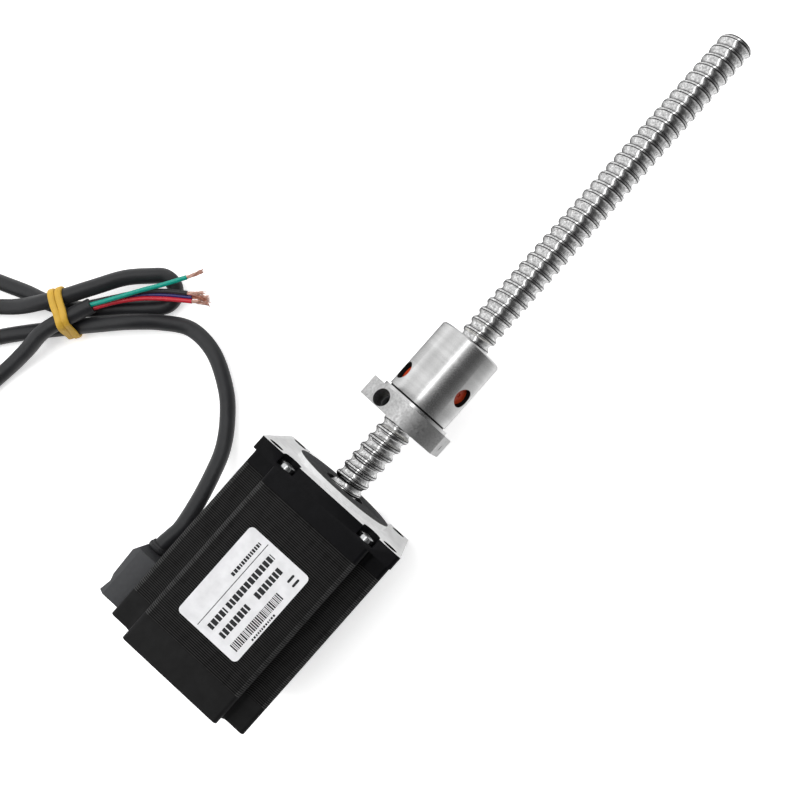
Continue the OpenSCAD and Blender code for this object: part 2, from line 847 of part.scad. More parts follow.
module ball_nut() {
    port_x = nut_x + nut_flange_thick / 2 - 0.4;
    wiper_room = wiper_thick + 0.1;
    gallery_x = nut_body_x + 3.5;
    gallery_len = nut_end_x - wiper_thick - 3 - gallery_x;
    color([0.72, 0.72, 0.73]) nut_turned() difference() {
        nut_blank();
        rod(nut_x - eps, nut_len + 2 * eps, nut_bore_r);
        rod(gallery_x, gallery_len, ball_track_r + ball_r + joint_gap);
        rod(nut_x - eps, wiper_room, wiper_r);
        rod(nut_end_x - wiper_room, wiper_room + eps, wiper_r);
        for (i = [0:3]) rotate([45 + 90 * i, 0, 0])
            translate([0, 0, nut_pcd / 2])
                rod(nut_x - eps, nut_flange_thick + 2 * eps, nut_hole_d / 2);
        translate([port_x, 0, 0]) rotate([-grease_angle, 0, 0])
            translate([0, 0, nut_bore_r - 1]) cylinder(d = grease_d, h = nut_flange_d);
        for (i = [0:2]) at_circuit(i)
            translate([0, 0, nut_d / 2 - deflector_depth])
                cylinder(d = deflector_d, h = nut_d);
        translate([port_x, -nut_flats / 2 - eps, 0]) rotate([-90, 0, 0])
            cylinder(d = 2.5, h = 1.5);
    }
}

// Plastic ball returns, set a little below the outside of the nut
module ball_deflectors() {
    color([0.78, 0.25, 0.14]) nut_turned() for (i = [0:2]) at_circuit(i)
        translate([0, 0, nut_d / 2 - deflector_depth]) difference() {
            cylinder(d = deflector_d - 2 * 0.05, h = 1.3);
            translate([0, 0, 1]) cylinder(d = 1.6, h = 1);
        }
}

// One turn of balls in the groove for each return
module nut_balls() {
    return_angle = 45;
    color([0.88, 0.88, 0.9]) for (c = [0:2], i = [0:balls_per_turn - 1])
        let (turn = circuit_angle[c] + nut_roll,
             angle = 90 - turn + return_angle / 2 + (360 - return_angle) * (i + 0.5) / balls_per_turn,
             base = nut_body_x + circuit_x[c],
             groove = thread_phase + lead * angle / 360 + lead / 2,
             x = groove + lead * round((base - groove) / lead))
            translate([x, ball_track_r * cos(angle), ball_track_r * sin(angle)])
                sphere(r = ball_r, $fn = 32);
}

module wiper(x) {
    color([0.92, 0.92, 0.9]) ring(x, wiper_thick, wiper_r - 0.05, nut_bore_r);
}

module front_wiper() {
    wiper(nut_x + 0.05);
}

module rear_wiper() {
    wiper(nut_end_x - wiper_thick - 0.05);
}

front_end_bell();
stator_core();
rear_end_bell();
front_insulator();
rear_insulator();
phase_a_coils();
phase_b_coils();
terminal_board();
front_outer_race();
front_bearing_shields();
rear_outer_race();
rear_bearing_shields();
wave_washer();
tie_screws();
rating_label();
cable_boot();
cable_grommet();
lead_cable();
core_green();
core_red();
core_blue();
core_black();
conductor_ends();
cable_band();
ball_screw();
rotor_cup_front();
rotor_magnet();
rotor_cup_rear();
front_spacer();
rear_spacer();
front_inner_race();
rear_inner_race();
front_bearing_balls();
front_ball_cage();
rear_bearing_balls();
rear_ball_cage();
ball_nut();
ball_deflectors();
nut_balls();
front_wiper();
rear_wiper();
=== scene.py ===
"""Looks of a stepper motor with a ball screw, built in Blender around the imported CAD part.

Everything is in metres, in the CAD part's own frame: the origin is the centre of the motor's
mounting face, +X runs out along the screw and +Z is up.
"""

import math
import random

import bmesh
import bpy
from mathutils import Matrix, Vector


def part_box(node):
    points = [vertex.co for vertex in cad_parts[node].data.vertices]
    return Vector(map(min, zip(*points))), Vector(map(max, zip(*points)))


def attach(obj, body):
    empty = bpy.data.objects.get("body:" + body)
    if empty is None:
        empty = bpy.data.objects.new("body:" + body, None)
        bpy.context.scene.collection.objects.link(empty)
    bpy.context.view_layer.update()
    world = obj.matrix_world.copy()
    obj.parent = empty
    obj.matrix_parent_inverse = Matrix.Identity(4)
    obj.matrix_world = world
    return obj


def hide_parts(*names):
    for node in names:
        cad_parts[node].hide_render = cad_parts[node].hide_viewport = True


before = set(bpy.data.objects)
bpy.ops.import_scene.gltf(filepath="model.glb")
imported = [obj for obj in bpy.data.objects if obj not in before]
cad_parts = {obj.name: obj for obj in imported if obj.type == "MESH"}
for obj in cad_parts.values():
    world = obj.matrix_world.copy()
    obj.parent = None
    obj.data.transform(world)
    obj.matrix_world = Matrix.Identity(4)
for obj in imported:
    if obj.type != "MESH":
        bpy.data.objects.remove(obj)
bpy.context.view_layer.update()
scene = bpy.context.scene

MM = 0.001
SEED = 23

# ------------------------------------------------------------------ sizes read from the frame

BELL_LOW, BELL_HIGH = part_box("front_end_bell")
STATOR_LOW, STATOR_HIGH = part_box("stator_core")
SCREW_LOW, SCREW_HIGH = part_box("ball_screw")
LABEL_LOW, LABEL_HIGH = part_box("rating_label")
FLOOR_Z = BELL_LOW.z
HALF = BELL_HIGH.z

# ------------------------------------------------------------------ sizes of the cable and screw

CABLE_D = 5.8 * MM
CORE_D = 1.7 * MM
BARE_LENGTH = 7 * MM
# Height of the cable's middle where it lies on the floor
LIE_Z = FLOOR_Z + CABLE_D / 2
ROUTE_STEPS = 14

LEAD = 4 * MM
SCREW_R = 5.9 * MM
GROOVE_BOTTOM_R = 4.95 * MM
LAND_HALF = 0.6 * MM
# Where the thread begins, and where the middle of a land crosses the +Y side
THREAD_START = 0.6 * MM
THREAD_PHASE = 0.5 * MM
# Narrow edge on both sides of each land, a little lower than the land, painted near black as a painted
# shade
EDGE_WIDTH = 0.3 * MM
EDGE_DROP = 0.1 * MM
SCREW_SIDES = 56

# Width of one sheet in the stator's surface
SHEET_PITCH = 0.7 * MM


# ------------------------------------------------------------------ curves


def spline_point(a, b, c, d, t):
    """Point at t between b and c on a smooth curve through a, b, c and d."""
    return 0.5 * (
        2 * b + (c - a) * t + (2 * a - 5 * b + 4 * c - d) * t * t + (3 * b - a - 3 * c + d) * t**3
    )


def smooth_route(points, steps=ROUTE_STEPS, lowest=-math.inf):
    """Smooth curve through all the points, kept above a lowest height."""
    last = len(points) - 1
    route = []
    for i in range(last):
        around = (points[max(i - 1, 0)], points[i], points[i + 1], points[min(i + 2, last)])
        for step in range(steps):
            point = spline_point(*around, step / steps)
            point.z = max(point.z, lowest)
            route.append(point)
    route.append(points[last].copy())
    return route


def route_mm(points):
    """Points given in millimetres, as vectors in metres."""
    return [Vector(point) * MM for point in points]


def arc(centre, r, start, sweep, steps):
    """Flat points along part of a circle, from a start angle through a sweep in degrees."""
    angles = [math.radians(start + sweep * step / steps) for step in range(steps + 1)]
    return [(centre[0] + r * math.cos(angle), centre[1] + r * math.sin(angle)) for angle in angles]


# ------------------------------------------------------------------ materials


class Look:
    """One procedural material: a Principled shader and the nodes that feed it."""

    # Nearly all of a noise lies between these two values
    NOISE_LOW, NOISE_HIGH = 0.3, 0.7

    def __init__(self, name, colour, roughness, metallic=0.0, specular=0.5):
        self.material = bpy.data.materials.new(name)
        self.material.use_nodes = True
        self.material.diffuse_color = (*colour, 1)
        self.nodes = self.material.node_tree.nodes
        self.links = self.material.node_tree.links
        self.shader = self.nodes["Principled BSDF"]
        self.shader.inputs["Base Color"].default_value = (*colour, 1)
        self.shader.inputs["Roughness"].default_value = roughness
        self.shader.inputs["Metallic"].default_value = metallic
        self.shader.inputs["Specular IOR Level"].default_value = specular
        self.coords = self.nodes.new("ShaderNodeTexCoord").outputs["Object"]

    def noise(self, grain, detail=3.0, stretch=(1, 1, 1)):
        """Noise with spots about grain metres wide, longer along the axes stretched by more."""
        mapping = self.nodes.new("ShaderNodeMapping")
        mapping.inputs["Scale"].default_value = [1 / (grain * s) for s in stretch]
        self.links.new(self.coords, mapping.inputs["Vector"])
        texture = self.nodes.new("ShaderNodeTexNoise")
        texture.inputs["Scale"].default_value = 1.0
        texture.inputs["Detail"].default_value = detail
        self.links.new(mapping.outputs["Vector"], texture.inputs["Vector"])
        return texture.outputs["Fac"]

    def stripes(self, pitch, axis="X"):
        """Waves from 0 to 1 along an axis, one for each pitch."""
        split = self.nodes.new("ShaderNodeSeparateXYZ")
        self.links.new(self.coords, split.inputs[0])
        turns = self.math("MULTIPLY", split.outputs[axis], 2 * math.pi / pitch)
        wave = self.math("SINE", turns, 0)
        return self.math("MULTIPLY_ADD", wave, 0.5, 0.5)

    def math(self, operation, a, b, c=None):
        """Result of a math node, from numbers or other nodes' results."""
        node = self.nodes.new("ShaderNodeMath")
        node.operation = operation
        for socket, value in zip(node.inputs, (a, b, c)):
            if value is None:
                continue
            if isinstance(value, (int, float)):
                socket.default_value = value
            else:
                self.links.new(value, socket)
        return node.outputs[0]

    def ramp(self, factor, stops):
        """Colours or grey levels at places from 0 to 1."""
        node = self.nodes.new("ShaderNodeValToRGB")
        elements = node.color_ramp.elements
        while len(elements) < len(stops):
            elements.new(0.5)
        for element, (place, value) in zip(elements, stops):
            element.position = place
            colour = value if isinstance(value, tuple) else (value, value, value)
            element.color = (*colour, 1)
        self.links.new(factor, node.inputs["Fac"])
        return node.outputs["Color"]

    def colour(self, factor, low, high):
        """Blend the base colour from low to high with the factor."""
        ramp = self.ramp(factor, [(self.NOISE_LOW, low), (self.NOISE_HIGH, high)])
        self.links.new(ramp, self.shader.inputs["Base Color"])

    def rough(self, factor, low, high):
        """Blend the roughness from low to high with the factor."""
        ramp = self.ramp(factor, [(self.NOISE_LOW, low), (self.NOISE_HIGH, high)])
        self.links.new(ramp, self.shader.inputs["Roughness"])

    def bump(self, height, depth, strength=1.0):
        """Let the light see a height from 0 to 1 as relief of that depth in metres."""
        node = self.nodes.new("ShaderNodeBump")
        node.inputs["Strength"].default_value = strength
        node.inputs["Distance"].default_value = depth
        self.links.new(height, node.inputs["Height"])
        self.links.new(node.outputs["Normal"], self.shader.inputs["Normal"])


def coated_black(name, colour, roughness):
    """Satin coating with a fine orange-peel grain."""
    look = Look(name, colour, roughness, specular=0.09)
    darker = tuple(0.75 * c for c in colour)
    look.colour(look.noise(3 * MM), darker, colour)
    look.rough(look.noise(1.2 * MM), roughness - 0.06, roughness + 0.08)
    look.bump(look.noise(0.25 * MM, 2), 0.01 * MM, 0.4)
    return look.material


def steel(name, colour, roughness, stretch=(1, 1, 1), grain=0.15 * MM, depth=0.004 * MM):
    """Bare steel with fine tool marks that run along the stretched axes."""
    look = Look(name, colour, roughness, metallic=1.0)
    darker = tuple(0.82 * c for c in colour)
    marks = look.noise(grain, 4, stretch)
    look.colour(look.noise(2.5 * MM, 3, stretch), darker, colour)
    look.rough(marks, roughness * 0.75, roughness * 1.3)
    look.bump(marks, depth, 0.6)
    return look.material


def mottled_steel(name, dark, light, roughness):
    """Polished steel with faint blotches left by the grinding."""
    look = Look(name, (light, light, light), roughness, metallic=1.0)
    blotches = look.noise(0.7 * MM, 4)
    look.colour(blotches, (dark, dark, dark), (light, light, light))
    look.rough(blotches, roughness * 1.5, roughness * 0.8)
    look.bump(look.noise(0.35 * MM, 3), 0.016 * MM, 0.7)
    return look.material


def plastic(name, colour, roughness, grain=0.3 * MM, depth=0.015 * MM, specular=0.4, sheen=0.0):
    """Moulded or extruded plastic, with a fine grain in its skin."""
    look = Look(name, colour, roughness, specular=specular)
    look.shader.inputs["Sheen Weight"].default_value = sheen
    darker = tuple(0.85 * c for c in colour)
    look.colour(look.noise(grain * 6), darker, colour)
    look.rough(look.noise(grain * 3), roughness - 0.05, roughness + 0.07)
    look.bump(look.noise(grain, 2), depth, 0.5)
    return look.material


def laminated(name, dark, light):
    """Black coated sheets side by side, each a little lighter or darker than the next."""
    look = Look(name, (light, light, light), 0.45, specular=0.07)
    sheets = look.stripes(SHEET_PITCH)
    each = look.noise(SHEET_PITCH, 1, (1.3, 300, 300))
    blotches = look.noise(2 * MM, 2, (4, 1, 1))
    shade = look.math("MULTIPLY", sheets, look.math("ADD", each, blotches))
    tone = look.ramp(shade, [(0.25, dark), (0.9, light)])
    look.links.new(tone, look.shader.inputs["Base Color"])
    look.rough(each, 0.4, 0.55)
    look.bump(sheets, 0.02 * MM, 0.5)
    return look.material


def wound_copper(name, colour):
    """Enamelled wire, wound side by side, with painted shade in the grooves between the wires."""
    look = Look(name, colour, 0.3, metallic=0.8)
    wires = look.stripes(0.5 * MM)
    # The grooves between the wires are darker: painted shade between the round wires
    darker = tuple(0.35 * c for c in colour)
    look.colour(wires, darker, colour)
    look.bump(wires, 0.1 * MM, 0.8)
    return look.material


# Colours are linear. After the roughness come the stretch of the tool marks for steel, and the size
# and depth of the grain, where they differ from the usual ones.
BLACK_BELL = coated_black("black_bell_coating", (0.004, 0.004, 0.0047), 0.38)
REAR_BLACK = coated_black("rear_bell_coating", (0.0115, 0.0115, 0.0117), 0.45)
LAMINATIONS = laminated("lamination_steel", 0.001, 0.022)
# Lighter copy of the sheets for the rounded corners of the stack: a painted highlight along the
# corners
LAMINATION_CORNER_HIGHLIGHT = laminated("lamination_corner_highlight", 0.016, 0.05)
MACHINED = plastic("machined_face", (0.8, 0.8, 0.8), 0.4, 0.5 * MM, 0.004 * MM)
BOSS_FACE = coated_black("boss_face", (0.055, 0.055, 0.056), 0.5)
SCREW_STEEL = mottled_steel("screw_steel", 0.48, 0.96, 0.11)
NUT_STEEL = steel("nut_steel", (0.8, 0.8, 0.8), 0.24, (1, 14, 14), 0.05 * MM, 0.0003 * MM)
# Near-black steel for the narrow edges beside each land: painted shade
THREAD_EDGE_SHADE = steel("thread_edge_painted_shade", (0.03, 0.03, 0.031), 0.35)
# Near-black colour for the walls inside the nut's ball returns and port: painted shade in the holes
HOLE_WALL_SHADE = coated_black("hole_walls_painted_shade", (0.006, 0.006, 0.006), 0.4)
PORT_THREAD = plastic("port_thread_steel", (0.06, 0.06, 0.062), 0.2)
FLANGE_STEEL = mottled_steel("flange_steel", 0.5, 0.68, 0.36)
BEARING_STEEL = steel("bearing_steel", (0.66, 0.67, 0.69), 0.22, (1, 10, 10))
BALL_STEEL = steel("ball_steel", (0.8, 0.8, 0.82), 0.08)
ROTOR_STEEL = steel("rotor_steel", (0.42, 0.42, 0.44), 0.4, (0.3, 6, 6))
SPACER_STEEL = steel("spacer_steel", (0.55, 0.55, 0.57), 0.3, (1, 10, 10))
MAGNET = coated_black("magnet", (0.16, 0.16, 0.17), 0.45)
CAGE = steel("ball_cage", (0.7, 0.52, 0.24), 0.3)
ZINC = steel("zinc_plate", (0.78, 0.79, 0.8), 0.2, (1, 1, 1), 0.4 * MM, 0.01 * MM)
BOBBIN = plastic("bobbin_plastic", (0.76, 0.74, 0.67), 0.45)
BOARD = plastic("board_green", (0.05, 0.24, 0.1), 0.35)
WINDING = wound_copper("winding_copper", (0.75, 0.33, 0.12))
LABEL_FILM = plastic("label_film", (0.74, 0.74, 0.755), 0.38, 0.6 * MM, 0.006 * MM)
LABEL_INK = plastic("label_ink", (0.012, 0.012, 0.014), 0.5)
BOOT_PLASTIC = plastic("boot_plastic", (0.04, 0.041, 0.044), 0.5, 0.22 * MM, 0.02 * MM, 0.35)
GROMMET_PLASTIC = plastic("grommet_plastic", (0.024, 0.0245, 0.026), 0.48, 0.22 * MM, 0.02 * MM, 0.35)
JACKET = plastic("cable_jacket", (0.0115, 0.012, 0.0136), 0.42, 0.5 * MM, 0.012 * MM, 0.5, 0.1)
CORE_GREEN = plastic("core_green", (0.0, 0.29, 0.22), 0.22, 0.3 * MM, 0.005 * MM, 0.6)
CORE_RED = plastic("core_red", (0.52, 0.015, 0.03), 0.22, 0.3 * MM, 0.005 * MM, 0.6)
CORE_BLUE = plastic("core_blue", (0.035, 0.03, 0.16), 0.22, 0.3 * MM, 0.005 * MM, 0.6)
CORE_BLACK = plastic("core_black", (0.02, 0.02, 0.022), 0.3)
COPPER = steel("bare_copper", (0.98, 0.66, 0.55), 0.3, (1, 1, 1), 0.2 * MM, 0.005 * MM)
BAND_RUBBER = plastic("band_rubber", (0.6, 0.36, 0.04), 0.42, 0.5 * MM, 0.06 * MM)
DEFLECTOR = plastic("deflector_plastic", (0.52, 0.05, 0.012), 0.35, 0.3 * MM, 0.02 * MM)
WIPER = plastic("wiper_plastic", (0.82, 0.81, 0.77), 0.4)


# ------------------------------------------------------------------ pieces

# Edges sharper than this stay sharp in the shading
SMOOTH_ANGLE = math.radians(38)


def add_piece(name, mesh, material, body, nodes=(), smooth=True):
    """Link a mesh as a piece that rides on a body and stands for the named CAD nodes."""
    mesh.materials.append(material)
    if smooth:
        mesh.shade_smooth()
        mesh.set_sharp_from_angle(angle=SMOOTH_ANGLE)
    piece = bpy.data.objects.new(name, mesh)
    scene.collection.objects.link(piece)
    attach(piece, body)
    if nodes:
        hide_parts(*nodes)
    return piece


def mesh_from(name, points, faces):
    """New mesh from points and from faces as numbers of points."""
    mesh = bpy.data.meshes.new(name)
    mesh.from_pydata([tuple(p) for p in points], [], faces)
    mesh.validate()
    mesh.update()
    return mesh


def grid_faces(rows, columns, start=0, closed=False):
    """Faces between rings of points, each ring closed on itself.

    Closed also joins the last ring to the first.
    """
    faces = []
    for row in range(rows if closed else rows - 1):
        here = start + row * columns
        ahead = start + (row + 1) % rows * columns
        for column in range(columns):
            beside = (column + 1) % columns
            faces.append((here + column, here + beside, ahead + beside, ahead + column))
    return faces


def write_mesh(bm, mesh):
    """Write edited geometry to a mesh, with every face turned outward."""
    bmesh.ops.recalc_face_normals(bm, faces=bm.faces)
    bm.to_mesh(mesh)
    bm.free()
    return mesh


def rounded_copy(node, name, radius, segments=2):
    """Mesh of a CAD node with every sharp edge rounded."""
    same_place = 0.001 * MM
    same_plane = math.radians(0.5)
    sharp_edge = math.radians(32)
    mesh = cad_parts[node].data.copy()
    mesh.name = name
    mesh.materials.clear()
    bm = bmesh.new()
    bm.from_mesh(mesh)
    bmesh.ops.remove_doubles(bm, verts=bm.verts, dist=same_place)
    bmesh.ops.dissolve_limit(bm, angle_limit=same_plane, verts=bm.verts, edges=bm.edges)
    sharp = [e for e in bm.edges if len(e.link_faces) == 2 and e.calc_face_angle() > sharp_edge]
    bmesh.ops.bevel(
        bm,
        geom=sharp,
        offset=radius,
        offset_type="OFFSET",
        segments=segments,
        profile=0.5,
        affect="EDGES",
        clamp_overlap=True,
        harden_normals=False,
    )
    return write_mesh(bm, mesh)


# ------------------------------------------------------------------ camera

# Place and axes of the camera, whose view direction follows from the two
CAMERA_PLACE = Vector((36.26, -15.79, 320.88)) * MM
CAMERA_RIGHT = (0.662, -0.747, -0.051)
CAMERA_UP = (0.749, 0.661, 0.043)
LENS_MM = 43.375
SENSOR_MM = 36


def make_camera():
    """Camera above the object, looking nearly straight down with the screw across the picture."""
    data = bpy.data.cameras.new("photo_camera")
    data.lens = LENS_MM
    data.sensor_width = SENSOR_MM
    data.clip_start = 0.01
    data.clip_end = 20
    camera = bpy.data.objects.new("photo_camera", data)
    scene.collection.objects.link(camera)
    right = Vector(CAMERA_RIGHT).normalized()
    back = right.cross(Vector(CAMERA_UP)).normalized()
    up = back.cross(right)
    turn = Matrix((right, up, back)).transposed().to_4x4()
    camera.matrix_world = Matrix.Translation(CAMERA_PLACE) @ turn
    scene.camera = camera


make_camera()

# ------------------------------------------------------------------ cable, cores and band

# The routes are in millimetres. The cable's runs from inside the boot to where its jacket is cut
# back, and it is the same as the CAD part's. LOW is the height of the cable on the floor.
LOW = LIE_Z / MM
CABLE_POINTS = [
    (-59.5, 33.2, 0), (-56, 33.2, 0), (-52.8, 33.2, -0.1), (-49.4, 32.9, -1.3),
    (-45.3, 32.9, -3.6), (-37, 35.4, -9.7), (-28.5, 38.9, -16.5), (-20, 43.2, -22.6),
    (-11.5, 49.3, -25.1),
    (-3.5, 57.2, LOW), (3.5, 69.5, LOW), (4.6, 81.5, LOW), (-0.6, 91, -23.8),
    (-8, 99.4, -21.4), (-15.6, 107, -22.2), (-24.8, 116, -24.2), (-44.5, 133.5, LOW),
    (-70, 151, LOW), (-94, 168, LOW), (-98, 188, LOW), (-80, 198, LOW),
    (-61, 178, LOW), (-37, 141.5, -22.8), (-23, 127, -18.2), (-8, 117.5, -18.6),
    (2.5, 111.5, -20.6), (9.4, 105.3, -22.4), (12.7, 101.4, -23.6), (12.5, 97, -24.6),
    (9.2, 94.1, -25.1), (4.9, 94.4, LOW), (0.4, 98.4, LOW), (-5.2, 104.6, LOW), (-20.5, 122.3, -24.2),
    (-27, 140.5, LOW), (-38, 166.5, LOW), (-58, 199, LOW), (-92, 210, LOW),
    (-120, 190, LOW), (-123, 156, LOW), (-97, 130, LOW), (-56, 124, LOW),
    (-42, 121.5, -22.2), (-29.5, 119.5, -18.2), (-12.5, 113, -18.6),
]
CORE_POINTS = {
    "green": [
        (-12.2, 112.9, -17.4), (-5.5, 108.3, -16.9), (3.1, 102.9, -17.1), (11, 97.7, -17.7),
        (18, 93.6, -18.4),
    ],
    "red": [
        (-12.6, 111.7, -18.6), (-6.1, 107.5, -18.9), (1, 101.6, -19.5), (6.9, 94.8, -19.8),
        (12.7, 86.9, -20.2),
    ],
    "blue": [
        (-12.1, 112.9, -19.9), (-5.5, 108.9, -20.4), (2.1, 102.5, -20.8), (8.3, 95.6, -20.5),
        (13.8, 88, -20.4),
    ],
    "black": [
        (-11.7, 114, -18.6), (-4.7, 108.8, -18.7), (2.9, 103.1, -19.1), (8.9, 96.7, -19),
        (13.9, 89.8, -19),
    ],
}
# How far the bare wires of each core open out, and how far they bend upward
CORE_SPREADS = {
    "green": (0.25 * MM, 1.6 * MM),
    "red": (1.0 * MM, 0),
    "blue": (1.1 * MM, 0),
    "black": (1.1 * MM, 0),
}
CORE_LOOKS = {"green": CORE_GREEN, "red": CORE_RED, "blue": CORE_BLUE, "black": CORE_BLACK}

# The band goes around the four strands that pass near its centre, across the direction of its turn
BAND_CENTRE = Vector((-21, 119.7, -21.2)) * MM
BAND_TURN = math.radians(58)
BAND_REACH = 12 * MM
BAND_TURN_WIDTH = 2.7 * MM
BAND_THICK = 0.9 * MM
BAND_CLEARANCE = 0.1 * MM


def cord_curve(name, route, diameter, material, node):
    """Round cord along a route, as a curve with closed ends."""
    data = bpy.data.curves.new(name, "CURVE")
    data.dimensions = "3D"
    data.bevel_depth = diameter / 2
    data.bevel_resolution = 6
    data.use_fill_caps = True
    spline = data.splines.new("POLY")
    spline.points.add(len(route) - 1)
    for point, place in zip(spline.points, route):
        point.co = (*place, 1)
    spline.use_smooth = True
    data.materials.append(material)
    piece = bpy.data.objects.new(name, data)
    scene.collection.objects.link(piece)
    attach(piece, "motor")
    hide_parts(node)
    return piece


def tube_points(route, radius, sides):
    """Rings of points around a route, for a thin round wire."""
    points = []
    for i, place in enumerate(route):
        along = (route[min(i + 1, len(route) - 1)] - route[max(i - 1, 0)]).normalized()
        side = along.cross(Vector((0, 0, 1))).normalized()
        up = side.cross(along)
        for s in range(sides):
            angle = 2 * math.pi * s / sides
            points.append(place + radius * (math.cos(angle) * side + math.sin(angle) * up))
    return points


def frayed_strands(name, route, spread, rise, seed):
    """Bare end of a core: thin copper wires that twist and open out a little."""
    wires, sides, rings = 26, 5, 12
    wire_r, bundle_r = 0.13 * MM, 0.6 * MM
    # The wires start this far inside the insulation
    buried = 0.4 * MM
    chance = random.Random(seed)
    start = route[-1]
    along = (route[-1] - route[-3]).normalized()
    side = along.cross(Vector((0, 0, 1))).normalized()
    up = side.cross(along)
    points, faces = [], []
    # Each wire has its own place in the bundle, length, twist in half turns and outward bend
    for wire in range(wires):
        angle = 2 * math.pi * wire / wires + chance.uniform(-0.3, 0.3)
        ring_r = bundle_r * math.sqrt(chance.uniform(0.05, 1))
        length = BARE_LENGTH * chance.uniform(0.82, 1.02)
        twist = chance.uniform(0.6, 1.5)
        flare = chance.uniform(0.2, 1.0) * spread
        path = []
        for ring in range(rings):
            t = ring / (rings - 1)
            turned = angle + twist * t * math.pi
            r = ring_r + flare * t * t
            offset = r * (math.cos(turned) * side + math.sin(turned) * up)
            path.append(start + along * (length * t - buried) + offset + up * rise * t * t)
        first = len(points)
        points += tube_points(path, wire_r, sides)
        faces += grid_faces(rings, sides, first)
        faces += [tuple(first + (rings - 1) * sides + s for s in range(sides))]
    mesh = mesh_from(name, points, faces)
    return add_piece(name, mesh, COPPER, "motor", ["conductor_ends"])


def band_outline(strands, radius, count=120, directions=720):
    """Closed line around round strands, evenly spaced, as flat points."""
    corners = []
    for k in range(directions):
        angle = 2 * math.pi * k / directions
        toward = Vector((math.cos(angle), math.sin(angle)))
        furthest = max(strands, key=lambda place: place.dot(toward))
        corners.append(furthest + radius * toward)
    corners.append(corners[0])
    total = sum((b - a).length for a, b in zip(corners, corners[1:]))
    outline, walked, k = [], 0.0, 0
    for step in range(count):
        wanted = total * step / count
        while walked + (corners[k + 1] - corners[k]).length < wanted:
            walked += (corners[k + 1] - corners[k]).length
            k += 1
        span = (corners[k + 1] - corners[k]).length or 1.0
        outline.append(corners[k].lerp(corners[k + 1], (wanted - walked) / span))
    return outline


def make_band(cable_route):
    """Rubber band in two turns around the four strands, side by side."""
    axis = Vector((math.sin(BAND_TURN), -math.cos(BAND_TURN), 0))
    side = Vector((math.cos(BAND_TURN), math.sin(BAND_TURN), 0))
    up = Vector((0, 0, 1))
    near = [p - BAND_CENTRE for p in cable_route if (p - BAND_CENTRE).length < BAND_REACH]
    # Section of one turn, as shares of its width and thickness
    section = [
        (-0.5, 0.0), (-0.46, 0.7), (-0.34, 0.95), (0.0, 1.0), (0.34, 0.95), (0.46, 0.7), (0.5, 0.0)
    ]
    radius = CABLE_D / 2 + BAND_CLEARANCE
    gap_between_turns = 0.15 * MM
    # The turns don't lie quite straight: one slow wave around each, and five quick ones on it
    slow_wave, quick_wave = 0.3 * MM, 0.12 * MM
    points, faces = [], []
    for turn, middle in enumerate((-0.5, 0.5)):
        first = len(points)
        shift = middle * BAND_TURN_WIDTH
        strands = [
            Vector((p.dot(side), p.z)) for p in near if abs(p.dot(axis) - shift) < BAND_TURN_WIDTH
        ]
        inner = band_outline(strands, radius)
        count = len(inner)
        for k, place in enumerate(inner):
            tangent = (inner[(k + 1) % count] - inner[k - 1]).normalized()
            normal = Vector((tangent.y, -tangent.x))
            wander = slow_wave * math.sin(2 * math.pi * k / count + 2.1 * turn)
            wander += quick_wave * math.sin(10 * math.pi * k / count + turn)
            for across, height in section:
                flat = place + normal * height * BAND_THICK
                along = shift + wander + across * (BAND_TURN_WIDTH - gap_between_turns)
                points.append(BAND_CENTRE + flat.x * side + flat.y * up + along * axis)
        faces += grid_faces(count, len(section), first, closed=True)
    mesh = mesh_from("rubber_band", points, faces)
    bm = bmesh.new()
    bm.from_mesh(mesh)
    write_mesh(bm, mesh)
    return add_piece("rubber_band", mesh, BAND_RUBBER, "motor", ["cable_band"])


def make_cords():
    """The cable with its band, and the four cores with their bare ends."""
    route = smooth_route(route_mm(CABLE_POINTS), lowest=LIE_Z)
    jacket = cord_curve("cable_jacket", route, CABLE_D, JACKET, "lead_cable")
    band = make_band(route)
    for number, (name, points) in enumerate(CORE_POINTS.items()):
        core_route = smooth_route(route_mm(points))
        node = slot = f"core_{name}"
        wire = cord_curve(f"core_wire_{name}", core_route, CORE_D, CORE_LOOKS[name], node)
        spread, rise = CORE_SPREADS[name]
        ends = frayed_strands(f"copper_{name}", core_route, spread, rise, SEED + number)


make_cords()

# ------------------------------------------------------------------ ball screw


def thread_profile():
    """One lead of the thread, as distance along the screw and radius, from the land's middle."""
    groove_half = LEAD / 2 - LAND_HALF
    depth = SCREW_R - GROOVE_BOTTOM_R
    arc_r = (groove_half**2 + depth**2) / (2 * depth)
    arc_steps = 12
    widest = math.asin(groove_half / arc_r)
    profile = [(0, SCREW_R), (LAND_HALF - EDGE_WIDTH, SCREW_R), (LAND_HALF, SCREW_R - EDGE_DROP)]
    for step in range(1, arc_steps):
        angle = -widest + 2 * widest * step / arc_steps
        r = GROOVE_BOTTOM_R + arc_r - arc_r * math.cos(angle)
        profile.append((LEAD / 2 + arc_r * math.sin(angle), r))
    profile += [(LEAD - x, r) for x, r in reversed(profile[1:3])]
    return profile


